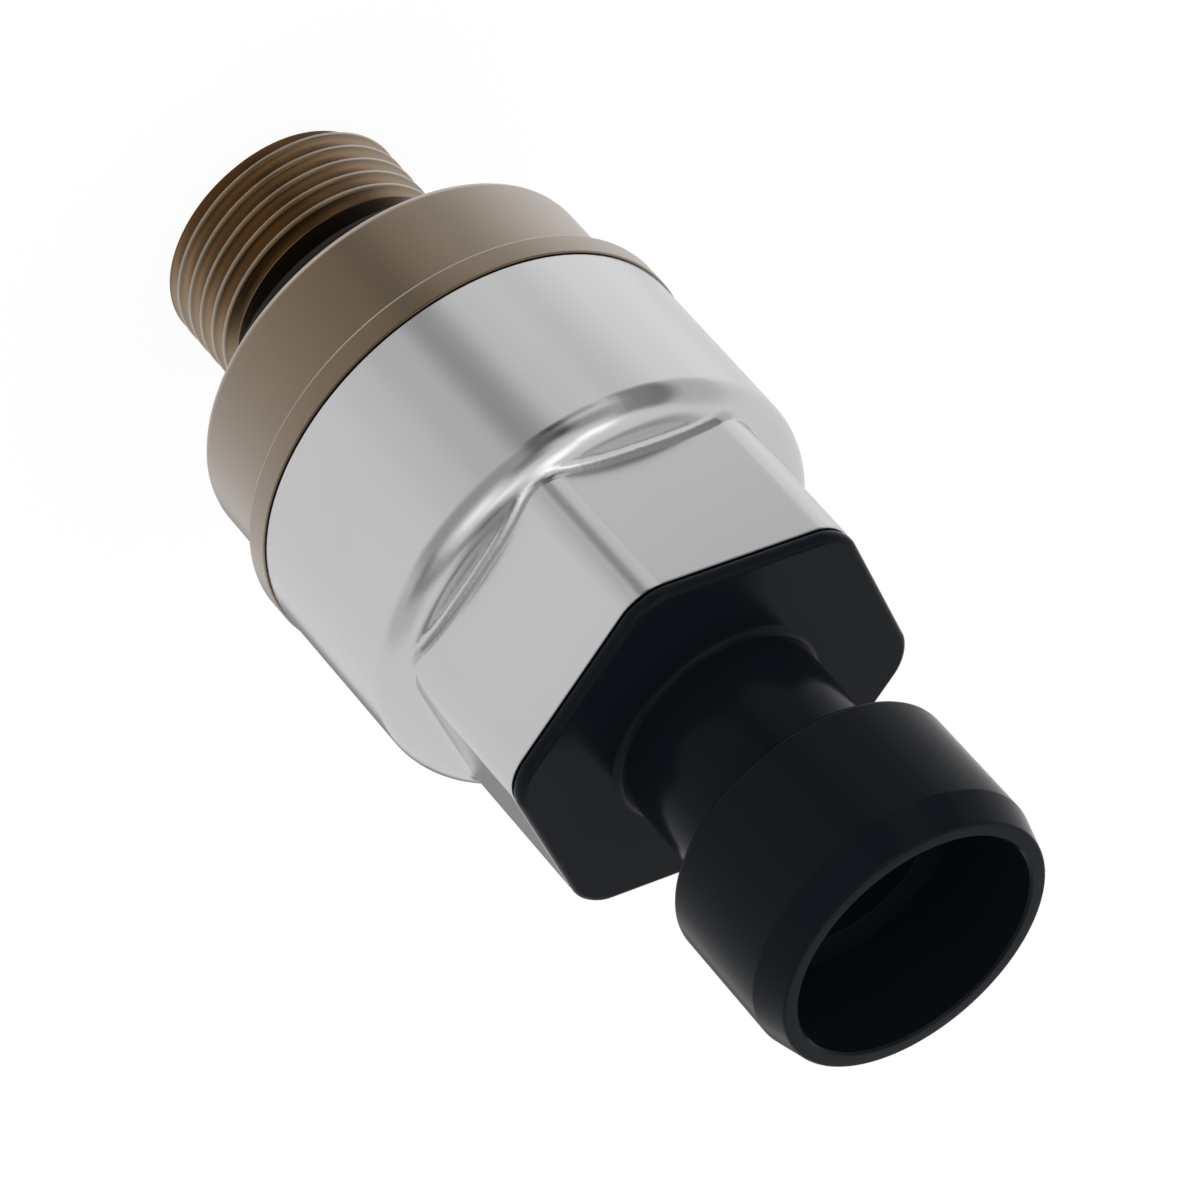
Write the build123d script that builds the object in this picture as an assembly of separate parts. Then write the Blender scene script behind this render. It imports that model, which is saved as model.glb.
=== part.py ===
from build123d import *
import os

# Pressure sensor with a threaded port, a drawn round-to-hex can and a moulded round socket.
# Millimetres. The origin is the centre of the flange's sealing face, +Z runs up to the socket.

# Port: one turned piece
thread_diameter = 16.66
thread_length = 7.3
thread_chamfer = 0.5
thread_runout = 0.65
stem_length = 13.5
relief_diameter = 14.2
inlet_diameter = 6.0
inlet_chamfer = 0.6
flange_diameter = 28.0
flange_height = 7.55
flange_chamfer = 0.7
lip_overhang = 0.15
lip_height = 1.75
lip_round = 0.12
spigot_height = 3.7

# Ring that seals under the flange
port_ring_section = 3.53

# Can: one drawn piece
can_diameter = 30.4
can_wall = 0.9
can_body_height = 12.2
can_shoulder = 2.3
hex_across_flats = 25.0
hex_corner_round = 3.2
hex_root_round = 0.8
hex_height = 10.5
seam_gap = 0.12

# Ceramic pressure cell and its seal
cell_diameter = 20.0
cell_floor_height = 4.6
membrane_thickness = 0.8
glass_thickness = 0.2
glass_width = 2.2
cell_base_thickness = 5.0
cell_ring_section = 2.0
cell_ring_diameter = 15.0
cell_ring_squeeze = 0.4
cell_pin_diameter = 0.7
cell_pin_circle_diameter = 12.0
cell_pin_count = 4
cell_pin_stand = 0.6

# Stack that presses on the cell
support_land = 1.8
support_flange = 1.2
spring_thickness = 0.6
spring_rise = 0.7
spring_width = 4.65
sleeve_wall = 1.95
sleeve_ledge_width = 3.2
sleeve_ledge_height = 1.6

# Circuit board and what is soldered to it
board_thickness = 1.0
pin_hole_diameter = 1.0
chip_size = (6.0, 5.0, 1.5)
chip_place = (0.0, 5.7)
chip_lead_count = 4
chip_lead_size = (0.4, 1.0, 0.3)
capacitor_size = (2.0, 1.25, 1.0)
capacitor_count = 4
capacitor_circle_diameter = 17.6
capacitor_arc = 50.0
resistor_size = (1.6, 0.8, 0.5)
resistor_count = 5
resistor_spacing = 1.5
resistor_row_y = -5.4
contact_thickness = 0.3
contact_width = 1.6
contact_reach = 2.6
contact_bend = 1.0

# Connector: one moulding
plate_thickness = 1.0
plate_edge_round = 0.45
plug_depth = 7.0
plug_pocket_depth = 3.4
plug_wall = 1.8
neck_diameter = 13.7
neck_root_round = 0.6
neck_height = 9.85
shroud_diameter = 19.55
shroud_length = 10.65
shroud_draft = 0.06
shroud_back_round = 0.35
mouth_cone_length = 2.3
mouth_diameter = 18.3
mouth_round = 0.15
socket_diameter = 16.2
socket_depth = 7.3
step_diameter = 11.8
step_depth = 2.3
nose_width = 10.6
nose_thickness = 4.6
nose_depth = 4.0

# Seal between the connector and the can
can_seal_height = 1.6
can_seal_thickness = 1.0
can_seal_drop = 1.4

# Terminals, all alike
terminal_count = 3
terminal_pitch = 3.6
terminal_width = 1.5
terminal_thickness = 0.8
terminal_tip = 0.35
terminal_tip_depth = 7.4
terminal_tail = 1.2

# Clearances
fit = 0.05
slip = 0.1
gap = 0.3

# Heights worked out from the sizes above
lip_top = flange_height + lip_height
spigot_top = lip_top + spigot_height
can_bottom = lip_top + seam_gap
shoulder_start = lip_top + can_body_height
ledge_top = shoulder_start + can_shoulder
can_top = ledge_top + hex_height
plate_top = can_top + plate_thickness
shroud_back = plate_top + neck_height
rim = shroud_back + shroud_length
socket_floor = rim - socket_depth
step_floor = socket_floor - step_depth
nose_floor = step_floor - nose_depth

lip_diameter = can_diameter + 2 * lip_overhang
can_bore = can_diameter - 2 * can_wall
ledge_underside = ledge_top - can_wall
hex_bore = hex_across_flats - 2 * can_wall
hex_bore_round = hex_corner_round - can_wall

spigot_diameter = can_bore - 2 * fit
recess_diameter = cell_diameter + 2 * slip
membrane_bottom = cell_floor_height + cell_ring_squeeze
glass_bottom = membrane_bottom + membrane_thickness
cell_base_bottom = glass_bottom + glass_thickness
cell_top = cell_base_bottom + cell_base_thickness
support_shoulder = spigot_top + gap
support_top = support_shoulder + support_flange
spring_top = support_top + spring_thickness + spring_rise
sleeve_top = ledge_underside - fit
board_bottom = spring_top + sleeve_ledge_height
board_top = board_bottom + board_thickness
plug_bottom = can_top - plug_depth
terminal_bottom = plug_bottom - terminal_tail

stack_diameter = can_bore - 2 * slip
support_bore = cell_diameter - 2 * support_land
spring_bore = stack_diameter - 2 * spring_width
sleeve_bore = stack_diameter - 2 * sleeve_wall
sleeve_ledge_bore = sleeve_bore - 2 * sleeve_ledge_width


def turned(*points, rounds=()):
    """Solid turned about Z from (radius, height) points, rounds being (point, radius)."""
    profile = make_face(Polyline(*[(r, 0, z) for r, z in points], close=True))
    for index, radius in rounds:
        place = Vector(points[index][0], 0, points[index][1])
        corner = profile.vertices().sort_by_distance(place)[0]
        profile = fillet(corner, radius)
    return revolve(profile, Axis.Z)


def tube(outside, bore, bottom, top):
    """Plain ring between two heights."""
    return turned((bore / 2, bottom), (outside / 2, bottom), (outside / 2, top), (bore / 2, top))


def hexagon(across_flats, corner_round):
    """Hexagon with rounded corners, two flats facing along X."""
    shape = RegularPolygon(across_flats / 2, 6, major_radius=False, rotation=30)
    return fillet(shape.vertices(), corner_round)


def hex_prism(across_flats, corner_round, bottom, top):
    return extrude(Pos(0, 0, bottom) * hexagon(across_flats, corner_round), top - bottom)


def ring(centre_diameter, section, height):
    """Round-section sealing ring with its centre at a height."""
    return Pos(0, 0, height) * Torus(centre_diameter / 2, section / 2)


def process_port():
    """Stem, thread blank, relief, flange, lip and the cup that holds the cell."""
    stem_end = -stem_length
    thread_top = stem_end + thread_length
    thread_r = thread_diameter / 2
    relief_r = relief_diameter / 2
    inlet_r = inlet_diameter / 2
    flange_r = flange_diameter / 2
    lip_r = lip_diameter / 2
    spigot_r = spigot_diameter / 2
    recess_r = recess_diameter / 2
    groove_in = (cell_ring_diameter - cell_ring_section) / 2 - slip
    groove_out = (cell_ring_diameter + cell_ring_section) / 2 + slip
    groove_floor = cell_floor_height - cell_ring_section + cell_ring_squeeze
    return turned(
        (inlet_r + inlet_chamfer, stem_end),
        (thread_r - thread_chamfer, stem_end),
        (thread_r, stem_end + thread_chamfer),
        (thread_r, thread_top),
        (relief_r, thread_top + thread_runout),
        (relief_r, 0),
        (flange_r - flange_chamfer, 0),
        (flange_r, flange_chamfer),
        (flange_r, flange_height),
        (lip_r, flange_height),
        (lip_r, lip_top),
        (spigot_r, lip_top),
        (spigot_r, spigot_top),
        (recess_r, spigot_top),
        (recess_r, cell_floor_height),
        (groove_out, cell_floor_height),
        (groove_out, groove_floor),
        (groove_in, groove_floor),
        (groove_in, cell_floor_height),
        (inlet_r, cell_floor_height),
        (inlet_r, stem_end + inlet_chamfer),
        rounds=((9, lip_round),),
    )


def port_ring():
    """Sealing ring on the relief, up against the flange."""
    centre_diameter = relief_diameter + port_ring_section + 2 * fit
    return ring(centre_diameter, port_ring_section, -port_ring_section / 2 - fit)


def can():
    """Drawn can: round body, rolled shoulder, flat ledge and a hexagon with soft corners."""
    body_r = can_diameter / 2
    bore_r = can_bore / 2
    outside = turned(
        (0, can_bottom), (body_r, can_bottom), (body_r, ledge_top), (0, ledge_top),
        rounds=((2, can_shoulder),),
    )
    outside += hex_prism(hex_across_flats, hex_corner_round, ledge_top - can_shoulder, can_top)
    root = [e for e in outside.edges() if is_root(e)]
    outside = fillet(root, hex_root_round)
    inside = turned(
        (0, can_bottom), (bore_r, can_bottom), (bore_r, ledge_underside), (0, ledge_underside),
        rounds=((2, can_shoulder - can_wall),),
    )
    inside += hex_prism(hex_bore, hex_bore_round, ledge_underside - can_wall, can_top)
    return outside - inside


def is_root(edge):
    """True for an edge where the hexagon rises out of the ledge or the shoulder."""
    middle = edge.position_at(0.5)
    radius = (middle.X ** 2 + middle.Y ** 2) ** 0.5
    inside_body = radius < can_diameter / 2 - 0.2
    box = edge.bounding_box()
    near_ledge = shoulder_start < middle.Z < ledge_top + 0.01
    return inside_body and near_ledge and box.size.Z < can_shoulder and box.max.Z < ledge_top + 0.01


def connector_body():
    """Moulding: hex plug and plate, neck, round shroud and the stepped socket."""
    neck_r = neck_diameter / 2
    shroud_r = shroud_diameter / 2
    cone_start = rim - mouth_cone_length
    pad_r = neck_r + neck_root_round + 1
    body = hex_prism(hex_across_flats, hex_corner_round, can_top, plate_top)
    body = fillet(body.faces().sort_by(Axis.Z)[-1].edges(), plate_edge_round)
    body += hex_prism(hex_bore - 2 * slip, hex_bore_round - slip, plug_bottom, can_top)
    body += turned(
        (0, can_top),
        (pad_r, can_top),
        (pad_r, plate_top),
        (neck_r, plate_top),
        (neck_r, shroud_back),
        (shroud_r - shroud_draft, shroud_back),
        (shroud_r, cone_start),
        (mouth_diameter / 2, rim),
        (0, rim),
        rounds=((3, neck_root_round), (5, shroud_back_round), (7, mouth_round)),
    )
    socket_r = socket_diameter / 2
    body -= turned(
        (0, step_floor),
        (step_diameter / 2, step_floor),
        (step_diameter / 2, socket_floor),
        (socket_r, socket_floor),
        (socket_r, rim - mouth_round),
        (socket_r + mouth_round, rim),
        (0, rim),
    )
    nose = RectangleRounded(nose_width, nose_thickness, nose_thickness / 3)
    body -= extrude(Pos(0, 0, nose_floor) * nose, nose_depth)
    pocket = hexagon(hex_bore - 2 * slip - 2 * plug_wall, hex_bore_round - slip)
    body -= extrude(Pos(0, 0, plug_bottom) * pocket, plug_pocket_depth)
    groove_top = can_top - can_seal_drop
    groove_bottom = groove_top - can_seal_height - slip
    groove = hex_prism(hex_bore, hex_bore_round, groove_bottom, groove_top)
    groove -= seal_core(groove_bottom, groove_top)
    body -= groove
    for index in range(terminal_count):
        body -= terminal_blank(index, fit)
    return body


def seal_core(bottom, top):
    """What the can seal goes round: the plug at the foot of its groove."""
    return hex_prism(hex_bore - 2 * can_seal_thickness, hex_bore_round - 0.5 * can_seal_thickness,
                     bottom, top)


def can_seal():
    """Hexagonal rubber ring in the plug's groove."""
    top = can_top - can_seal_drop - slip / 2
    bottom = top - can_seal_height
    seal = hex_prism(hex_bore - 2 * fit, hex_bore_round - fit, bottom, top)
    core = hex_prism(hex_bore - 2 * can_seal_thickness + 2 * fit,
                     hex_bore_round - 0.5 * can_seal_thickness, bottom, top)
    return seal - core


def terminal_x(index):
    return (index - (terminal_count - 1) / 2) * terminal_pitch


def terminal_blank(index, grow=0.0):
    """Blade without its tip, grown all round to cut its slot."""
    bottom = terminal_bottom
    height = rim - terminal_tip_depth - bottom
    blade = Box(terminal_width + 2 * grow, terminal_thickness + 2 * grow, height,
                align=(Align.CENTER, Align.CENTER, Align.MIN))
    return Pos(terminal_x(index), 0, bottom) * blade


def terminal(index):
    """Flat blade with a chamfered tip."""
    blade = terminal_blank(index)
    return chamfer(blade.faces().sort_by(Axis.Z)[-1].edges(), terminal_tip)


def cell_ring():
    """Ring that seals the cell against the cup's floor."""
    height = cell_floor_height + cell_ring_squeeze - cell_ring_section / 2
    return ring(cell_ring_diameter, cell_ring_section - 2 * fit, height)


def cell_membrane():
    return Pos(0, 0, membrane_bottom) * upright(cell_diameter, membrane_thickness)


def upright(diameter, height):
    return Cylinder(diameter / 2, height, align=(Align.CENTER, Align.CENTER, Align.MIN))


def cell_glass():
    """Glass that bonds the membrane to the base, a thin ring round the edge."""
    return tube(cell_diameter, cell_diameter - 2 * glass_width, glass_bottom, cell_base_bottom)


def pin_places():
    return PolarLocations(cell_pin_circle_diameter / 2, cell_pin_count, start_angle=45)


def cell_base():
    """Thick ceramic disc with a chamfered top edge."""
    base = Pos(0, 0, cell_base_bottom) * upright(cell_diameter, cell_base_thickness)
    return chamfer(base.edges().group_by(Axis.Z)[-1], gap)


def cell_pins():
    """Pins soldered to the cell that pass up through the board."""
    length = board_top + cell_pin_stand - cell_top
    return [place * Pos(0, 0, cell_top) * upright(cell_pin_diameter, length) for place in pin_places()]


def support_ring():
    """Stepped ring that passes the load from the spring to the cell's edge."""
    bore_r = support_bore / 2
    foot_r = recess_diameter / 2 - slip
    flange_r = stack_diameter / 2
    return turned(
        (bore_r, cell_top),
        (foot_r, cell_top),
        (foot_r, support_shoulder),
        (flange_r, support_shoulder),
        (flange_r, support_top),
        (bore_r, support_top),
    )


def disc_spring():
    """Cone-shaped spring washer that keeps the cell's seal pressed."""
    inner_r = spring_bore / 2
    outer_r = stack_diameter / 2
    return turned(
        (outer_r, support_top),
        (outer_r, support_top + spring_thickness),
        (inner_r, spring_top),
        (inner_r, spring_top - spring_thickness),
    )


def spacer_sleeve():
    """Sleeve from the spring up to the can's shoulder, with a ledge for the board."""
    outer_r = stack_diameter / 2
    bore_r = sleeve_bore / 2
    ledge_r = sleeve_ledge_bore / 2
    relief = can_shoulder - can_wall
    return turned(
        (ledge_r, spring_top),
        (outer_r, spring_top),
        (outer_r, sleeve_top - relief),
        (outer_r - relief, sleeve_top),
        (bore_r, sleeve_top),
        (bore_r, board_bottom),
        (ledge_r, board_bottom),
    )


def circuit_board():
    """Round board with holes for the cell's pins."""
    board = Pos(0, 0, board_bottom) * upright(sleeve_bore - 2 * slip, board_thickness)
    for place in pin_places():
        board -= place * Pos(0, 0, board_bottom) * upright(pin_hole_diameter, board_thickness)
    return board


def on_board(x, y, size):
    """Block of a given size that stands on the board."""
    block = Box(*size, align=(Align.CENTER, Align.CENTER, Align.MIN))
    return Pos(x, y, board_top) * block


def signal_chip():
    """Chip body with a row of leads along each long side."""
    length, width, height = chip_size
    x, y = chip_place
    chip = Pos(0, 0, chip_lead_size[2] / 2) * on_board(x, y, (length, width, height))
    pitch = length / chip_lead_count
    for side in (-1, 1):
        for index in range(chip_lead_count):
            lead_x = x + (index - (chip_lead_count - 1) / 2) * pitch
            lead_y = y + side * (width + chip_lead_size[1]) / 2
            chip += on_board(lead_x, lead_y, (chip_lead_size[0], chip_lead_size[1], height / 2))
    return chip


def capacitors():
    """Blocks spaced along the edge of the board."""
    size = (capacitor_size[1], capacitor_size[0], capacitor_size[2])
    places = PolarLocations(capacitor_circle_diameter / 2, capacitor_count, start_angle=-capacitor_arc / 2,
                            angular_range=capacitor_arc, endpoint=True)
    return [place * on_board(0, 0, size) for place in places]


def resistors():
    """Row of small blocks on the near side of the board."""
    first = -(resistor_count - 1) / 2 * resistor_spacing
    size = (resistor_size[1], resistor_size[0], resistor_size[2])
    return [on_board(first + index * resistor_spacing, resistor_row_y, size)
            for index in range(resistor_count)]


def contact_spring(index):
    """Leaf bent into a C, from a pad on the board up to the terminal's foot."""
    low = board_top + contact_thickness / 2
    high = terminal_bottom - contact_thickness / 2
    reach = contact_reach
    line = FilletPolyline((0, reach / 2, low), (0, -reach / 2, low), (0, -reach / 2, high),
                          (0, reach / 2, high), radius=contact_bend)
    across = Plane(line @ 0, x_dir=(1, 0, 0), z_dir=line % 0)
    section = across * Rectangle(contact_width, contact_thickness)
    return Pos(terminal_x(index), 0, 0) * sweep(section, line)


def save(name, shape):
    """Write one node; a list of solids becomes one compound."""
    if isinstance(shape, list):
        shape = Compound(children=shape)
    shape.label = name
    export_step(shape, os.path.join("parts", name + ".step"))


os.makedirs("parts", exist_ok=True)
save("process_port", process_port())
save("port_ring", port_ring())
save("can", can())
save("connector_body", connector_body())
save("can_seal", can_seal())
save("cell_ring", cell_ring())
save("cell_membrane", cell_membrane())
save("cell_glass", cell_glass())
save("cell_base", cell_base())
save("cell_pins", cell_pins())
save("support_ring", support_ring())
save("disc_spring", disc_spring())
save("spacer_sleeve", spacer_sleeve())
save("circuit_board", circuit_board())
save("signal_chip", signal_chip())
save("capacitors", capacitors())
save("resistors", resistors())
for number in range(terminal_count):
    save("terminal_%d" % (number + 1), terminal(number))
    save("contact_spring_%d" % (number + 1), contact_spring(number))
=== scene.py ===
import math
import bmesh
import bpy
from mathutils import Matrix, Vector


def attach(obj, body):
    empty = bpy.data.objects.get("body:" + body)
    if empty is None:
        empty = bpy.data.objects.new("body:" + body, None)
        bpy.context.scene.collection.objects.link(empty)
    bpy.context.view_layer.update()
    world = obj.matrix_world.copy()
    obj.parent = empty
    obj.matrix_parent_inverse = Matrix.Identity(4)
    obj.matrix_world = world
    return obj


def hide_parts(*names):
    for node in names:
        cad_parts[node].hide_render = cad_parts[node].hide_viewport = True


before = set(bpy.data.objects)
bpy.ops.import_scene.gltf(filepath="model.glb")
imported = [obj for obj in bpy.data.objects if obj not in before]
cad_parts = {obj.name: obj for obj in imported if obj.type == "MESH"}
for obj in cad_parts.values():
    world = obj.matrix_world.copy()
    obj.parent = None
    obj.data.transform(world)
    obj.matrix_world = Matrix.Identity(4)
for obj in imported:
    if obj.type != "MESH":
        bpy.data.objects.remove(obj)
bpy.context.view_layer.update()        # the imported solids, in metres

# Pressure sensor: a turned port with a cut thread, a drawn can and a moulded round socket.
# The origin is the centre of the flange's sealing face, +Z runs up to the socket.
# Sizes and heights are in millimetres and angles in degrees, unless a comment says otherwise.
MM = 0.001

# Port: the stem with its thread, its relief and the inlet
STEM_END = -13.5
THREAD_TOP = -6.2
THREAD_RADIUS = 8.33
THREAD_CHAMFER = 0.3
THREAD_RUNOUT = 0.9
THREAD_PITCH = 1.337
THREAD_HALF_ANGLE = 27.5
THREAD_CREST = 0.12
THREAD_CREST_ROUND = 0.15
THREAD_ROOT_ROUND = 0.15
RELIEF_RADIUS = 6.75
RELIEF_ROUND = 0.1
INLET_RADIUS = 3.0
INLET_CHAMFER = 0.6

# Port: the flange, the lip, the spigot, and the cup with the groove for the cell's ring
FLANGE_RADIUS = 14.0
FLANGE_TOP = 7.55
FLANGE_ROUND = 0.75
LIP_RADIUS = 15.35
LIP_TOP = 9.3
LIP_ROUND = 0.22
LIP_TOP_ROUND = 0.1
SPIGOT_RADIUS = 14.25
SPIGOT_TOP = 13.0
CUP_RADIUS = 10.1
CUP_FLOOR = 4.6
CELL_GROOVE_INSIDE = 6.4
CELL_GROOVE_OUTSIDE = 8.6
CELL_GROOVE_FLOOR = 3.0

# Cutter of the thread's groove. It starts below the stem and stands out of it by its reach,
# and the rounds on the crests start just proud of the stem, so that no two faces coincide
CUTTER_START = -15.4
CUTTER_TURNS = 8
CUTTER_REACH = 0.4
CUTTER_PROUD = 0.003

# Ring under the flange
RING_SECTION = 3.53
RING_CENTRE = 8.915
RING_HEIGHT = -1.815
RING_FLASH = 0.04

# Can, of which only the upper cut rim is reworked
CAN_TOP = 34.3
RIM_BREAK = 0.12

# Connector: the hexagonal plate that closes the can, and the plug below it with its seal's groove
PLATE_TOP = 35.3
PLATE_FLATS = 25.0
PLATE_CORNER = 3.2
PLATE_ROUND = 0.45
PLATE_FOOT_ROUND = 0.35
PLUG_FLATS = 23.0
PLUG_CORNER = 2.2
PLUG_BOTTOM = 27.3
SEAL_CORE_FLATS = 21.2
SEAL_CORE_CORNER = 1.8
SEAL_GROOVE_BOTTOM = 31.2
SEAL_GROOVE_TOP = 32.9
POCKET_FLATS = 19.4
POCKET_TOP = 30.7

# Connector: the neck and the round shroud
NECK_RADIUS = 6.85
NECK_ROOT = 0.6
NECK_TOP_ROUND = 0.1
SHROUD_BACK = 45.15
SHROUD_BACK_RADIUS = 9.715
SHROUD_BACK_ROUND = 0.35
SHROUD_RADIUS = 9.775
CONE_START = 53.5
MOUTH_RADIUS = 9.15
MOUTH_ROUND = 0.15
RIM = 55.8

# Connector: the socket, its step, the slot-shaped nose below the step, and the slots of the blades.
# Nose and slot are given as width along X and thickness
SOCKET_RADIUS = 8.1
SOCKET_FLOOR = 48.5
STEP_RADIUS = 5.9
STEP_FLOOR = 46.2
NOSE_SIZE = (10.6, 4.6)
NOSE_CORNER = NOSE_SIZE[1] / 3
NOSE_FLOOR = 42.2
BLADE_SLOT = (1.6, 0.9)
BLADE_SLOT_CORNER = 0.05
BLADE_PITCH = 3.6

# Bodies to be joined reach into each other, and cutters reach past the face that they open.
# The neck's foot sinks a little into the plate and ends a little outside the round at its root
OVERLAP = 0.2
CUT_PAST = 1.0
SUNK = 0.01
FOOT_MARGIN = 0.02

# How finely a round piece is turned, and how many steps the rounds and the thread have
TURN_STEPS = 192
RING_STEPS = 48
ROUND_STEPS = 4
BREAK_STEPS = 2
CORNER_STEPS = 12
THREAD_STEPS = 96

# Broken edge on the corners that have no round of their own, and the distance at which points are one
EDGE_BREAK = 0.06
CLOSE = 0.001

# Camera of the photograph: its lens and sensor, where it looks from, and the point that it aims at
LENS = 235.05
SENSOR = 36.0
CAMERA_AZIMUTH = -83.8
CAMERA_ELEVATION = 34.25
CAMERA_ROLL = -138.36
CAMERA_AIM = (0.34, 0.04, 23.21)
CAMERA_DISTANCE = 468.4

# Level of the studio's light, and the darkest that its cards can make it
STUDIO_LEVEL = 0.83
STUDIO_DARKEST = 0.03

# Soft panels and dark cards of the studio, as the object sees them: azimuth, half width, elevation,
# half height, width of the soft edge, and how much each adds to the level
STUDIO_PANELS = (
    ("bright floor", 168, 26, -52, 20, 30, 0.25),
    ("key panel, low end", -138, 10, 45, 6, 8, 0.95),
    ("key panel, high end", -119, 12, 60, 9, 12, 0.95),
    ("second panel, low end", -66, 10, 34, 8, 12, 0.5),
    ("second panel, high end", -80, 12, 51, 5, 10, 0.6),
    ("dark gap", -110, 9, -8, 23, 10, -0.62),
    ("dark gap, top", -98, 9, 24, 10, 12, -0.55),
    ("dark gap, foot", -124, 12, -24, 7, 8, -0.42),
    ("dark gap, on the floor", -106, 7, -42, 12, 13, -0.36),
    ("dim floor", -90, 10, -42, 12, 24, -0.15),
    ("dim floor, right", -72, 12, -38, 12, 28, -0.1),
    ("second gap", -157, 12, 0, 32, 9, -0.55),
    ("dim wall", -180, 14, 0, 32, 14, -0.2),
    ("dim front", -66, 34, -4, 20, 20, -0.42),
    ("dim front, right", -128, 12, 10, 14, 14, -0.42),
    ("dark card, left", -30, 9, 34, 26, 14, -0.42),
    ("dim card, far left", -12, 12, 14, 30, 20, -0.2),
    ("dark ceiling, front", -52, 22, 66, 9, 12, -0.5),
    ("dark ceiling", -15, 112, 84, 13, 16, -0.5),
    ("dark ceiling, back", 62, 32, 61, 13, 14, -0.62),
    ("dark back, high", 128, 36, 62, 14, 12, -0.45),
    ("dark back, low", 86, 14, -30, 16, 14, -0.58),
    ("lower panel", -84, 60, -76, 10, 10, 0.8),
)

# Floor: its width in metres, how brightly the camera sees it, how far a shadow dims that,
# and how much light it throws back on the object
FLOOR_WIDTH = 8.0
FLOOR_GLOW = 0.93
FLOOR_SHADOWED = 0.12
FLOOR_PAPER = 0.8


def shade(code):
    """Linear colour from an sRGB hex value."""
    parts = [int(code[place:place + 2], 16) / 255 for place in (1, 3, 5)]
    return tuple(p / 12.92 if p <= 0.04045 else ((p + 0.055) / 1.055) ** 2.4 for p in parts) + (1.0,)


def direction(azimuth, elevation):
    """Unit vector from two angles in degrees."""
    flat = math.cos(math.radians(elevation))
    return Vector((flat * math.cos(math.radians(azimuth)),
                   flat * math.sin(math.radians(azimuth)),
                   math.sin(math.radians(elevation))))


def add(tree, kind, inputs=None, **settings):
    """Adds a node. inputs gives each socket a value, or the output that feeds it."""
    made = tree.nodes.new(kind)
    for name, value in settings.items():
        setattr(made, name, value)
    for socket, value in (inputs or {}).items():
        if isinstance(value, bpy.types.NodeSocket):
            tree.links.new(value, made.inputs[socket])
        else:
            made.inputs[socket].default_value = value
    return made


def surface(name, **sockets):
    """New material with one shader, whose plain sockets are given with _ for each space."""
    material = bpy.data.materials.new(name)
    material.use_nodes = True
    shader = material.node_tree.nodes["Principled BSDF"]
    for socket, value in sockets.items():
        shader.inputs[socket.replace("_", " ")].default_value = value
    return material, material.node_tree, shader


def texture(tree, shader, patches, roughness, relief, strength, height):
    """Varies the roughness between two values by one pattern, and raises the surface by another.

    The height is that of the relief, in millimetres.
    """
    least, most = roughness
    rough = add(tree, "ShaderNodeMapRange", {"Value": patches, "To Min": least, "To Max": most})
    tree.links.new(rough.outputs[0], shader.inputs["Roughness"])
    bump = add(tree, "ShaderNodeBump", {"Height": relief, "Strength": strength, "Distance": height * MM})
    tree.links.new(bump.outputs[0], shader.inputs["Normal"])


def deselect():
    """Leaves edit mode and deselects every object."""
    if bpy.context.object and bpy.context.object.mode != "OBJECT":
        bpy.ops.object.mode_set(mode="OBJECT")
    bpy.ops.object.select_all(action="DESELECT")


def choose(piece, wanted, kind="VERT"):
    """In edit mode, selects the vertices, edges or faces for which wanted is true."""
    bpy.ops.mesh.select_mode(type=kind)
    bpy.ops.mesh.select_all(action="DESELECT")
    mesh = bmesh.from_edit_mesh(piece.data)
    parts = {"VERT": mesh.verts, "EDGE": mesh.edges, "FACE": mesh.faces}[kind]
    for part in parts:
        if wanted(part):
            part.select_set(True)
    bmesh.update_edit_mesh(piece.data)


def lies_at(height):
    """Test for edges that lie at a height."""
    return lambda edge: all(abs(v.co.z - height * MM) < CLOSE * MM for v in edge.verts)


def round_edges(piece, wanted, size, steps):
    """Rounds the edges of the active piece for which wanted is true."""
    bpy.ops.object.mode_set(mode="EDIT")
    choose(piece, wanted, "EDGE")
    bpy.ops.mesh.bevel(offset=size * MM, segments=steps, affect="EDGES")
    bpy.ops.object.mode_set(mode="OBJECT")


def apply(piece, modifier):
    """Applies a modifier, with only this piece selected."""
    deselect()
    piece.select_set(True)
    bpy.context.view_layer.objects.active = piece
    bpy.ops.object.modifier_apply(modifier=modifier.name)


def combine(piece, other, operation):
    """Joins the other piece on, or cuts it away, and deletes it."""
    change = piece.modifiers.new(other.name, "BOOLEAN")
    change.operation = operation
    change.solver = "EXACT"
    change.object = other
    apply(piece, change)
    bpy.data.objects.remove(other)


def smooth(piece, angle=30.0):
    """Smooth shading up to an angle, with large flats kept flat."""
    deselect()
    piece.select_set(True)
    bpy.context.view_layer.objects.active = piece
    bpy.ops.object.shade_smooth_by_angle(angle=math.radians(angle))
    flats = piece.modifiers.new("flats", "WEIGHTED_NORMAL")
    flats.keep_sharp = True
    apply(piece, flats)


def outline(name, corners):
    """New piece that is only a closed line through (radius, height) corners, left in edit mode."""
    deselect()
    bpy.ops.mesh.primitive_plane_add(size=MM)
    piece = bpy.context.object
    piece.name = name
    piece.data.name = name
    bpy.ops.object.mode_set(mode="EDIT")
    # The piece before may have left edges as what is selected
    bpy.ops.mesh.select_mode(type="VERT")
    bpy.ops.mesh.merge(type="CENTER")
    here = Vector((0, 0, 0))
    for number, (radius, height) in enumerate(corners + corners[:1]):
        place = Vector((radius, 0, height)) * MM
        if number == 0:
            bpy.ops.transform.translate(value=place)
        else:
            bpy.ops.mesh.extrude_region_move(TRANSFORM_OT_translate={"value": place - here})
        here = place
    bpy.ops.mesh.select_all(action="SELECT")
    bpy.ops.mesh.remove_doubles(threshold=CLOSE * MM)
    return piece


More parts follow.
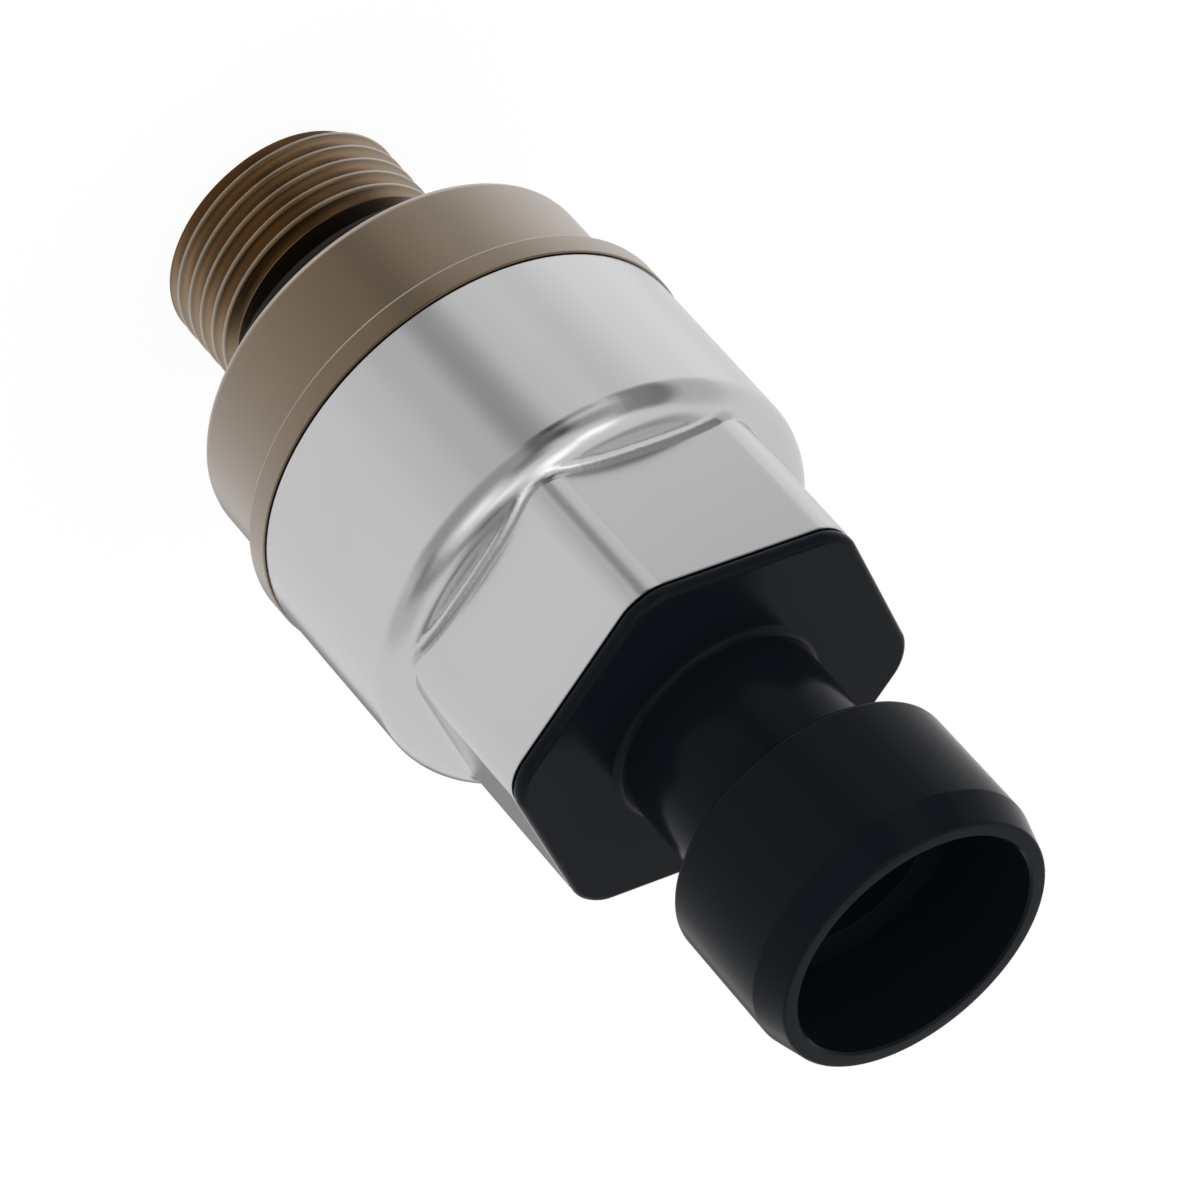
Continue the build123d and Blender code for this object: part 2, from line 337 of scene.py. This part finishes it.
def turned(name, corners):
    """Piece turned about Z from (radius, height, rounding) corners."""
    piece = outline(name, [corner[:2] for corner in corners])
    for size in sorted({corner[2] for corner in corners if corner[2] > 0}):
        places = [Vector((radius, 0, height)) * MM
                  for radius, height, rounding in corners if rounding == size]
        choose(piece, lambda v: any((v.co - place).length < CLOSE * MM for place in places))
        bpy.ops.mesh.bevel(offset=size * MM, segments=ROUND_STEPS, affect="VERTICES")
    bpy.ops.mesh.select_all(action="SELECT")
    bpy.ops.mesh.spin(steps=TURN_STEPS, angle=2 * math.pi, center=(0, 0, 0), axis=(0, 0, 1))
    bpy.ops.mesh.select_all(action="SELECT")
    bpy.ops.mesh.remove_doubles(threshold=CLOSE * MM)
    bpy.ops.mesh.normals_make_consistent(inside=False)
    bpy.ops.mesh.delete_loose()
    bpy.ops.object.mode_set(mode="OBJECT")
    return piece


def prism(name, vertices, flats, corner, bottom, top, stretch=1.0):
    """Upright prism with rounded corners. Its flats face along X, and stretch widens it that way."""
    deselect()
    radius = flats / 2 / math.cos(math.pi / vertices)
    middle = (top + bottom) / 2 * MM
    bpy.ops.mesh.primitive_cylinder_add(
        vertices=vertices, radius=radius * MM, depth=(top - bottom) * MM, location=(0, 0, middle))
    piece = bpy.context.object
    piece.name = name
    bpy.ops.object.transform_apply(location=True)
    bpy.ops.object.mode_set(mode="EDIT")
    bpy.ops.mesh.select_all(action="SELECT")
    turn = math.pi / 2 - math.pi / vertices
    bpy.ops.transform.rotate(value=turn, orient_axis="Z", center_override=(0, 0, 0))
    bpy.ops.transform.resize(value=(stretch, 1, 1), center_override=(0, 0, 0))
    bpy.ops.object.mode_set(mode="OBJECT")
    round_edges(piece, lambda e: min(v.co.z for v in e.verts) < middle < max(v.co.z for v in e.verts),
                corner * math.tan(math.pi / vertices), CORNER_STEPS)
    return piece


def arc(middle, size, start, end):
    """Points of an arc round (radius, height), between two angles in degrees."""
    turns = [math.radians(start + (end - start) * step / ROUND_STEPS) for step in range(ROUND_STEPS + 1)]
    return [(middle[0] + size * math.cos(turn), middle[1] + size * math.sin(turn)) for turn in turns]


def copy_of(node, name):
    """Merged copy of a solid, ready to be worked on."""
    piece = bpy.data.objects.new(name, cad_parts[node].data.copy())
    bpy.context.collection.objects.link(piece)
    deselect()
    piece.select_set(True)
    bpy.context.view_layer.objects.active = piece
    bpy.ops.object.mode_set(mode="EDIT")
    bpy.ops.mesh.select_all(action="SELECT")
    bpy.ops.mesh.remove_doubles(threshold=CLOSE * MM)
    # Facets that lie within 0.05 degrees of one plane become one face
    bpy.ops.mesh.dissolve_limited(angle_limit=math.radians(0.05))
    bpy.ops.object.mode_set(mode="OBJECT")
    return piece


def place_on(piece, material, slot, *nodes):
    """Gives the piece its material and body, and lets it stand for the nodes. The slot is not used."""
    piece.data.materials.clear()
    piece.data.materials.append(material)
    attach(piece, "root")
    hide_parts(*nodes)


def thread_profile():
    """Corners of the groove between two crests: a V with its root and the crests' edges rounded."""
    slope = math.tan(math.radians(THREAD_HALF_ANGLE))
    sweep = 90 - THREAD_HALF_ANGLE
    outer = THREAD_RADIUS + CUTTER_REACH
    crest = THREAD_RADIUS + CUTTER_PROUD - THREAD_CREST_ROUND
    reach = (THREAD_PITCH - THREAD_CREST) / 2
    upper_edge = arc((crest, reach), THREAD_CREST_ROUND, 0, -sweep)
    flank_radius, flank_height = upper_edge[-1]
    root_height = THREAD_ROOT_ROUND * math.sin(math.radians(sweep))
    root_radius = flank_radius - (flank_height - root_height) / slope
    middle = root_radius + THREAD_ROOT_ROUND * math.cos(math.radians(sweep))
    root = arc((middle, 0), THREAD_ROOT_ROUND, 180 - sweep, 180 + sweep)
    lower_edge = arc((crest, -reach), THREAD_CREST_ROUND, sweep, 0)
    return [(outer, reach)] + upper_edge + root + lower_edge + [(outer, -reach)]


def thread_groove():
    """Solid groove wound round the stem, which is cut from the blank."""
    corners = [(radius, CUTTER_START + height) for radius, height in thread_profile()]
    groove = outline("thread_groove", corners)
    bpy.ops.object.mode_set(mode="OBJECT")
    screw = groove.modifiers.new("wind", "SCREW")
    screw.angle = 2 * math.pi
    screw.screw_offset = THREAD_PITCH * MM
    screw.iterations = CUTTER_TURNS
    screw.steps = THREAD_STEPS
    screw.render_steps = THREAD_STEPS
    apply(groove, screw)
    bpy.ops.object.mode_set(mode="EDIT")
    bpy.ops.mesh.select_all(action="SELECT")
    bpy.ops.mesh.remove_doubles(threshold=CLOSE * MM)
    bpy.ops.mesh.select_all(action="SELECT")
    bpy.ops.mesh.fill_holes(sides=0)
    bpy.ops.mesh.select_all(action="SELECT")
    bpy.ops.mesh.normals_make_consistent(inside=False)
    bpy.ops.object.mode_set(mode="OBJECT")
    return groove


def threaded_port():
    """Stem, relief, flange, lip and cup as one turned piece, with its thread cut."""
    port = turned("threaded_port", [
        (INLET_RADIUS + INLET_CHAMFER, STEM_END, 0),
        (THREAD_RADIUS - THREAD_CHAMFER, STEM_END, EDGE_BREAK),
        (THREAD_RADIUS, STEM_END + THREAD_CHAMFER, EDGE_BREAK),
        (THREAD_RADIUS, THREAD_TOP, EDGE_BREAK),
        (RELIEF_RADIUS, THREAD_TOP + THREAD_RUNOUT, RELIEF_ROUND),
        (RELIEF_RADIUS, 0, 0),
        (FLANGE_RADIUS, 0, FLANGE_ROUND),
        (FLANGE_RADIUS, FLANGE_TOP, 0),
        (LIP_RADIUS, FLANGE_TOP, LIP_ROUND),
        (LIP_RADIUS, LIP_TOP, LIP_TOP_ROUND),
        (SPIGOT_RADIUS, LIP_TOP, 0),
        (SPIGOT_RADIUS, SPIGOT_TOP, EDGE_BREAK),
        (CUP_RADIUS, SPIGOT_TOP, EDGE_BREAK),
        (CUP_RADIUS, CUP_FLOOR, 0),
        (CELL_GROOVE_OUTSIDE, CUP_FLOOR, 0),
        (CELL_GROOVE_OUTSIDE, CELL_GROOVE_FLOOR, 0),
        (CELL_GROOVE_INSIDE, CELL_GROOVE_FLOOR, 0),
        (CELL_GROOVE_INSIDE, CUP_FLOOR, 0),
        (INLET_RADIUS, CUP_FLOOR, 0),
        (INLET_RADIUS, STEM_END + INLET_CHAMFER, 0),
    ])
    combine(port, thread_groove(), "DIFFERENCE")
    smooth(port)
    return port


def sealing_ring():
    """Round-section ring with the fine raised line that its mould's halves leave."""
    deselect()
    bpy.ops.mesh.primitive_torus_add(
        location=(0, 0, RING_HEIGHT * MM), major_segments=TURN_STEPS, minor_segments=RING_STEPS,
        major_radius=RING_CENTRE * MM, minor_radius=RING_SECTION / 2 * MM)
    ring = bpy.context.object
    ring.name = "sealing_ring"
    bpy.ops.object.transform_apply(location=True)
    bpy.ops.object.mode_set(mode="EDIT")
    radius = RING_CENTRE + RING_SECTION / 2
    choose(ring, lambda v: v.co.xy.length > (radius - CLOSE) * MM)
    grown = 1 + RING_FLASH / radius
    bpy.ops.transform.resize(value=(grown, grown, 1), center_override=(0, 0, RING_HEIGHT * MM))
    bpy.ops.object.mode_set(mode="OBJECT")
    smooth(ring, angle=60.0)
    return ring


def drawn_can():
    """Copy of the can's solid with its upper cut rim broken."""
    can = copy_of("can", "drawn_can")
    round_edges(can, lies_at(CAN_TOP), RIM_BREAK, BREAK_STEPS)
    smooth(can)
    return can


def plate_and_plug():
    """Hexagonal plate with rounded edges, and the plug below it with its seal's groove."""
    plate = prism("socket_moulding", 6, PLATE_FLATS, PLATE_CORNER, CAN_TOP, PLATE_TOP)
    round_edges(plate, lies_at(PLATE_TOP), PLATE_ROUND, ROUND_STEPS)
    round_edges(plate, lies_at(CAN_TOP), PLATE_FOOT_ROUND, ROUND_STEPS)
    for name, flats, corner, bottom, top in (
        ("plug_head", PLUG_FLATS, PLUG_CORNER, SEAL_GROOVE_TOP, CAN_TOP + OVERLAP),
        ("seal_core", SEAL_CORE_FLATS, SEAL_CORE_CORNER,
         SEAL_GROOVE_BOTTOM - OVERLAP, SEAL_GROOVE_TOP + OVERLAP),
        ("plug_foot", PLUG_FLATS, PLUG_CORNER, PLUG_BOTTOM, SEAL_GROOVE_BOTTOM),
    ):
        combine(plate, prism(name, 6, flats, corner, bottom, top), "UNION")
    return plate


def neck_and_shroud():
    """Neck, shroud and the round steps of the socket, as one turned piece."""
    foot = CAN_TOP + 2 * OVERLAP
    foot_radius = NECK_RADIUS + NECK_ROOT + FOOT_MARGIN
    return turned("neck_and_shroud", [
        (0, foot, 0),
        (foot_radius, foot, 0),
        (foot_radius, PLATE_TOP - SUNK, 0),
        (NECK_RADIUS, PLATE_TOP - SUNK, NECK_ROOT),
        (NECK_RADIUS, SHROUD_BACK, NECK_TOP_ROUND),
        (SHROUD_BACK_RADIUS, SHROUD_BACK, SHROUD_BACK_ROUND),
        (SHROUD_RADIUS, CONE_START, EDGE_BREAK),
        (MOUTH_RADIUS, RIM, MOUTH_ROUND),
        (SOCKET_RADIUS + MOUTH_ROUND, RIM, 0),
        (SOCKET_RADIUS, RIM - MOUTH_ROUND, 0),
        (SOCKET_RADIUS, SOCKET_FLOOR, 0),
        (STEP_RADIUS, SOCKET_FLOOR, EDGE_BREAK),
        (STEP_RADIUS, STEP_FLOOR, 0),
        (0, STEP_FLOOR, 0),
    ])


def blade_slot(place):
    """Cutter for the slot of the blade at a place along X, between the pocket and the nose."""
    width, thickness = BLADE_SLOT
    slot = prism("slot", 4, thickness, BLADE_SLOT_CORNER, POCKET_TOP - CUT_PAST, NOSE_FLOOR + CUT_PAST,
                 width / thickness)
    bpy.ops.object.mode_set(mode="EDIT")
    bpy.ops.mesh.select_all(action="SELECT")
    bpy.ops.transform.translate(value=(place * MM, 0, 0))
    bpy.ops.object.mode_set(mode="OBJECT")
    return slot


def socket_moulding():
    """Plug, plate, neck, shroud and stepped socket as one moulding."""
    body = plate_and_plug()
    combine(body, neck_and_shroud(), "UNION")
    width, thickness = NOSE_SIZE
    nose = prism("nose", 4, thickness, NOSE_CORNER, NOSE_FLOOR, STEP_FLOOR + CUT_PAST, width / thickness)
    combine(body, nose, "DIFFERENCE")
    pocket = prism("pocket", 6, POCKET_FLATS, PLUG_CORNER, PLUG_BOTTOM - CUT_PAST, POCKET_TOP)
    combine(body, pocket, "DIFFERENCE")
    for place in (-BLADE_PITCH, 0, BLADE_PITCH):
        combine(body, blade_slot(place), "DIFFERENCE")
    smooth(body)
    return body


def turned_brass():
    """Brass, turned on a lathe and dulled: a satin bronze brown that pales where it is seen edge-on."""
    material, tree, shader = surface("turned_dulled_brass", Metallic=1.0)
    where = add(tree, "ShaderNodeTexCoord").outputs["Object"]
    split = add(tree, "ShaderNodeSeparateXYZ", {0: where})
    flat = add(tree, "ShaderNodeCombineXYZ", {0: split.outputs[0], 1: split.outputs[1], 2: 0.0})
    radius = add(tree, "ShaderNodeVectorMath", {0: flat.outputs[0]}, operation="LENGTH")
    profile = add(tree, "ShaderNodeCombineXYZ", {0: radius.outputs["Value"], 1: split.outputs[2], 2: 0.0})
    # Rings 0.12 mm apart, coarser than the feed of the tool, which would not show
    lines = add(tree, "ShaderNodeTexNoise",
                {"Vector": profile.outputs[0], "Scale": 1 / (0.12 * MM), "Detail": 2.0, "Roughness": 0.6},
                noise_dimensions="2D")
    # Film in patches of about 6 mm
    cloud = add(tree, "ShaderNodeTexNoise", {"Vector": where, "Scale": 1 / (6 * MM), "Detail": 3.0})
    dulled = add(tree, "ShaderNodeMix",
                 {"Factor": cloud.outputs["Fac"], 6: shade("#624920"), 7: shade("#6A5126")}, data_type="RGBA")
    # Painted highlight: the flanks of the thread get a brighter, more golden tone that stands in for the warm
    # light they mirror.
    # The painted tone starts 0.1 mm below the crests and is full at 0.3 mm
    inside = add(tree, "ShaderNodeMapRange", {
        "Value": radius.outputs["Value"],
        "From Min": (THREAD_RADIUS - 0.3) * MM, "From Max": (THREAD_RADIUS - 0.1) * MM,
        "To Min": 1.0, "To Max": 0.0,
    })
    below = add(tree, "ShaderNodeMath", {0: split.outputs[2], 1: THREAD_TOP * MM}, operation="LESS_THAN")
    painted_flank_light = add(tree, "ShaderNodeMath", {0: inside.outputs[0], 1: below.outputs[0]}, operation="MULTIPLY")
    tone = add(tree, "ShaderNodeMix",
               {"Factor": painted_flank_light.outputs[0], 6: dulled.outputs[2], 7: shade("#8C6A3C")}, data_type="RGBA")
    film = add(tree, "ShaderNodeLayerWeight", {"Blend": 0.5})
    pale = add(tree, "ShaderNodeMix",
               {"Factor": film.outputs["Facing"], 6: tone.outputs[2], 7: shade("#CDC5BE")}, data_type="RGBA")
    tree.links.new(pale.outputs[2], shader.inputs["Base Color"])
    texture(tree, shader, lines.outputs["Fac"], (0.26, 0.38), lines.outputs["Fac"], 0.25, 0.004)
    return material


def drawn_steel():
    """Stainless steel, deep drawn and tumbled: a bright, even satin with faint cloudiness."""
    material, tree, shader = surface("drawn_stainless_steel", Metallic=1.0)
    where = add(tree, "ShaderNodeTexCoord").outputs["Object"]
    # Tumbling marks about 0.15 mm across, on cloudy patches of about 9 mm
    marks = add(tree, "ShaderNodeTexNoise", {"Vector": where, "Scale": 1 / (0.15 * MM), "Detail": 3.0})
    cloud = add(tree, "ShaderNodeTexNoise", {"Vector": where, "Scale": 1 / (9 * MM), "Detail": 3.0})
    tone = add(tree, "ShaderNodeMix",
               {"Factor": cloud.outputs["Fac"], 6: shade("#CECECF"), 7: shade("#D4D4D5")}, data_type="RGBA")
    tree.links.new(tone.outputs[2], shader.inputs["Base Color"])
    texture(tree, shader, cloud.outputs["Fac"], (0.17, 0.22), marks.outputs["Fac"], 0.08, 0.003)
    return material


def black_polyamide():
    """Glass-filled polyamide, moulded in a finely textured tool: black, between satin and gloss."""
    material, tree, shader = surface("moulded_black_polyamide",
                                     Base_Color=shade("#171B21"), Specular_IOR_Level=0.056)
    where = add(tree, "ShaderNodeTexCoord").outputs["Object"]
    # Texture of the tool, 0.1 mm across, on patches of about 5 mm that are more or less glossy
    grain = add(tree, "ShaderNodeTexNoise", {"Vector": where, "Scale": 1 / (0.1 * MM), "Detail": 2.0})
    cloud = add(tree, "ShaderNodeTexNoise", {"Vector": where, "Scale": 1 / (5 * MM), "Detail": 2.0})
    texture(tree, shader, cloud.outputs["Fac"], (0.14, 0.2), grain.outputs["Fac"], 0.1, 0.003)
    return material


def nitrile_rubber():
    """Nitrile rubber, compression moulded: black with a dull shine."""
    material, tree, shader = surface("moulded_nitrile_rubber",
                                     Base_Color=shade("#0B0B0D"), Specular_IOR_Level=0.05)
    where = add(tree, "ShaderNodeTexCoord").outputs["Object"]
    # Grain of the mould, 0.2 mm across
    grain = add(tree, "ShaderNodeTexNoise", {"Vector": where, "Scale": 1 / (0.2 * MM), "Detail": 3.0})
    texture(tree, shader, grain.outputs["Fac"], (0.38, 0.5), grain.outputs["Fac"], 0.15, 0.005)
    return material


def inner_finish(name, light, dark, grain, roughness, metallic=0.0):
    """Finish of a piece inside the can: two close tones in a fine grain, given in millimetres."""
    material, tree, shader = surface(name, Metallic=metallic)
    where = add(tree, "ShaderNodeTexCoord").outputs["Object"]
    spots = add(tree, "ShaderNodeTexNoise", {"Vector": where, "Scale": 1 / (grain * MM), "Detail": 3.0})
    tone = add(tree, "ShaderNodeMix",
               {"Factor": spots.outputs["Fac"], 6: shade(dark), 7: shade(light)}, data_type="RGBA")
    tree.links.new(tone.outputs[2], shader.inputs["Base Color"])
    spread = 0.06
    texture(tree, shader, spots.outputs["Fac"], (roughness - spread, roughness + spread),
            spots.outputs["Fac"], 0.1, 0.004)
    return material


def dress_inner_nodes(rubber):
    """Materials for the solids that stay as they are."""
    # The cell: white and matt, with a glossy cream bond
    alumina = inner_finish("fired_alumina", "#EFEDE4", "#E6E3D8", 0.2, 0.45)
    frit = inner_finish("fused_glass_frit", "#CFC8AE", "#BDB596", 0.3, 0.25)
    # Pins, springs and blades with the soft grey shine of tin
    tinned = inner_finish("tinned_copper_alloy", "#D9D6CE", "#C9C5BB", 0.3, 0.3, 1.0)
    # Rings that load the cell: cream and matt polymer, and a darker grey spring
    stack = inner_finish("moulded_natural_polymer", "#DAD5C2", "#D0CAB6", 0.4, 0.5)
    spring = inner_finish("rolled_spring_steel", "#A3A3A3", "#929292", 0.2, 0.35, 1.0)
    # The board: green under a satin mask, with dull black, brown and glossy black parts on it
    laminate = inner_finish("green_masked_laminate", "#14602F", "#0F5228", 0.3, 0.4)
    epoxy = inner_finish("moulded_chip_epoxy", "#242424", "#1A1A1A", 0.1, 0.55)
    capacitor = inner_finish("fired_capacitor_ceramic", "#A98A62", "#9B7D56", 0.2, 0.4)
    resistor = inner_finish("glazed_resistor_ceramic", "#26262A", "#1B1B1E", 0.2, 0.3)
    worn_by = {
        "can_seal": rubber, "cell_ring": rubber,
        "cell_membrane": alumina, "cell_base": alumina, "cell_glass": frit,
        "cell_pins": tinned, "support_ring": stack, "spacer_sleeve": stack, "disc_spring": spring,
        "circuit_board": laminate, "signal_chip": epoxy, "capacitors": capacitor, "resistors": resistor,
    }
    for number in (1, 2, 3):
        worn_by["terminal_%d" % number] = tinned
        worn_by["contact_spring_%d" % number] = tinned
    for name, material in worn_by.items():
        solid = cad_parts[name]
        solid.data.materials.clear()
        solid.data.materials.append(material)


def studio():
    """World of soft grey light, with the panels and cards as soft-edged fields of the sky."""
    world = bpy.data.worlds.new("studio")
    bpy.context.scene.world = world
    world.use_nodes = True
    tree = world.node_tree
    tree.nodes.clear()
    toward = add(tree, "ShaderNodeTexCoord").outputs["Generated"]
    split = add(tree, "ShaderNodeSeparateXYZ", {0: toward})
    flat = add(tree, "ShaderNodeVectorMath", {0: toward, 1: (1, 1, 0)}, operation="MULTIPLY")
    heading = add(tree, "ShaderNodeVectorMath", {0: flat.outputs[0]}, operation="NORMALIZE")
    height = add(tree, "ShaderNodeMath", {0: split.outputs[2]}, operation="ARCSINE")
    # Each field is a rectangle in azimuth and elevation with a soft edge, and adds its change to the total
    total = None
    for label, azimuth, half_width, elevation, half_height, edge, change in STUDIO_PANELS:
        aside = add(tree, "ShaderNodeVectorMath", {0: heading.outputs[0], 1: direction(azimuth, 0)},
                    operation="DOT_PRODUCT", label=label)
        across = add(tree, "ShaderNodeMapRange", {
            "Value": aside.outputs["Value"],
            "From Min": math.cos(math.radians(half_width + edge / 2)),
            "From Max": math.cos(math.radians(half_width - edge / 2)),
        }, interpolation_type="SMOOTHSTEP")
        above = add(tree, "ShaderNodeMath", {0: height.outputs[0], 1: math.radians(elevation)},
                    operation="SUBTRACT")
        apart = add(tree, "ShaderNodeMath", {0: above.outputs[0]}, operation="ABSOLUTE")
        upright = add(tree, "ShaderNodeMapRange", {
            "Value": apart.outputs[0],
            "From Min": math.radians(half_height - edge / 2),
            "From Max": math.radians(half_height + edge / 2),
            "To Min": change, "To Max": 0.0,
        }, interpolation_type="SMOOTHSTEP")
        before = total.outputs[0] if total else STUDIO_LEVEL
        total = add(tree, "ShaderNodeMath", {0: across.outputs[0], 1: upright.outputs[0], 2: before},
                    operation="MULTIPLY_ADD")
    level = add(tree, "ShaderNodeMath", {0: total.outputs[0], 1: STUDIO_DARKEST}, operation="MAXIMUM")
    light = add(tree, "ShaderNodeBackground", {"Color": shade("#FFFFFF"), "Strength": level.outputs[0]})
    add(tree, "ShaderNodeOutputWorld", {"Surface": light.outputs[0]})


def floor():
    """Pale floor at the stem's end. What the camera sees is white, and dims a little in the shadow."""
    deselect()
    bpy.ops.mesh.primitive_plane_add(size=FLOOR_WIDTH, location=(0, 0, STEM_END * MM))
    ground = bpy.context.object
    ground.name = "floor"
    bpy.ops.object.transform_apply(location=True)
    material = bpy.data.materials.new("white_paper_floor")
    material.use_nodes = True
    tree = material.node_tree
    tree.nodes.clear()
    seen = add(tree, "ShaderNodeLightPath").outputs["Is Camera Ray"]
    glow = add(tree, "ShaderNodeEmission", {"Color": shade("#FFFFFF"), "Strength": FLOOR_GLOW})
    faint = add(tree, "ShaderNodeBsdfDiffuse", {"Color": (FLOOR_SHADOWED,) * 3 + (1.0,)})
    shown = add(tree, "ShaderNodeAddShader", {0: glow.outputs[0], 1: faint.outputs[0]})
    paper = add(tree, "ShaderNodeBsdfDiffuse", {"Color": (FLOOR_PAPER,) * 3 + (1.0,)})
    both = add(tree, "ShaderNodeMixShader", {0: seen, 1: paper.outputs[0], 2: shown.outputs[0]})
    add(tree, "ShaderNodeOutputMaterial", {"Surface": both.outputs[0]})
    ground.data.materials.append(material)
    # The object mirrors the studio all round, and not the floor
    ground.visible_glossy = False


def camera():
    """Camera at the photograph's place."""
    data = bpy.data.cameras.new("camera")
    data.lens = LENS
    data.sensor_width = SENSOR
    # The near and far limits of what it sees are in metres
    data.clip_start = 0.01
    data.clip_end = 20.0
    eye = bpy.data.objects.new("camera", data)
    bpy.context.collection.objects.link(eye)
    back = direction(CAMERA_AZIMUTH, CAMERA_ELEVATION)
    right = Vector((0, 0, 1)).cross(back).normalized()
    level = back.cross(right)
    roll = math.radians(CAMERA_ROLL)
    up = math.cos(roll) * level + math.sin(roll) * right
    side = up.cross(back)
    place = (Vector(CAMERA_AIM) + back * CAMERA_DISTANCE) * MM
    eye.matrix_world = Matrix.Translation(place) @ Matrix((side, up, back)).transposed().to_4x4()
    bpy.context.scene.camera = eye


bpy.context.scene.view_settings.view_transform = "Standard"
rubber = nitrile_rubber()
place_on(threaded_port(), turned_brass(), "port_metal", "process_port")
place_on(sealing_ring(), rubber, "black_rubber", "port_ring")
place_on(drawn_can(), drawn_steel(), "can_steel", "can")
place_on(socket_moulding(), black_polyamide(), "connector_plastic", "connector_body")
dress_inner_nodes(rubber)
studio()
floor()
camera()
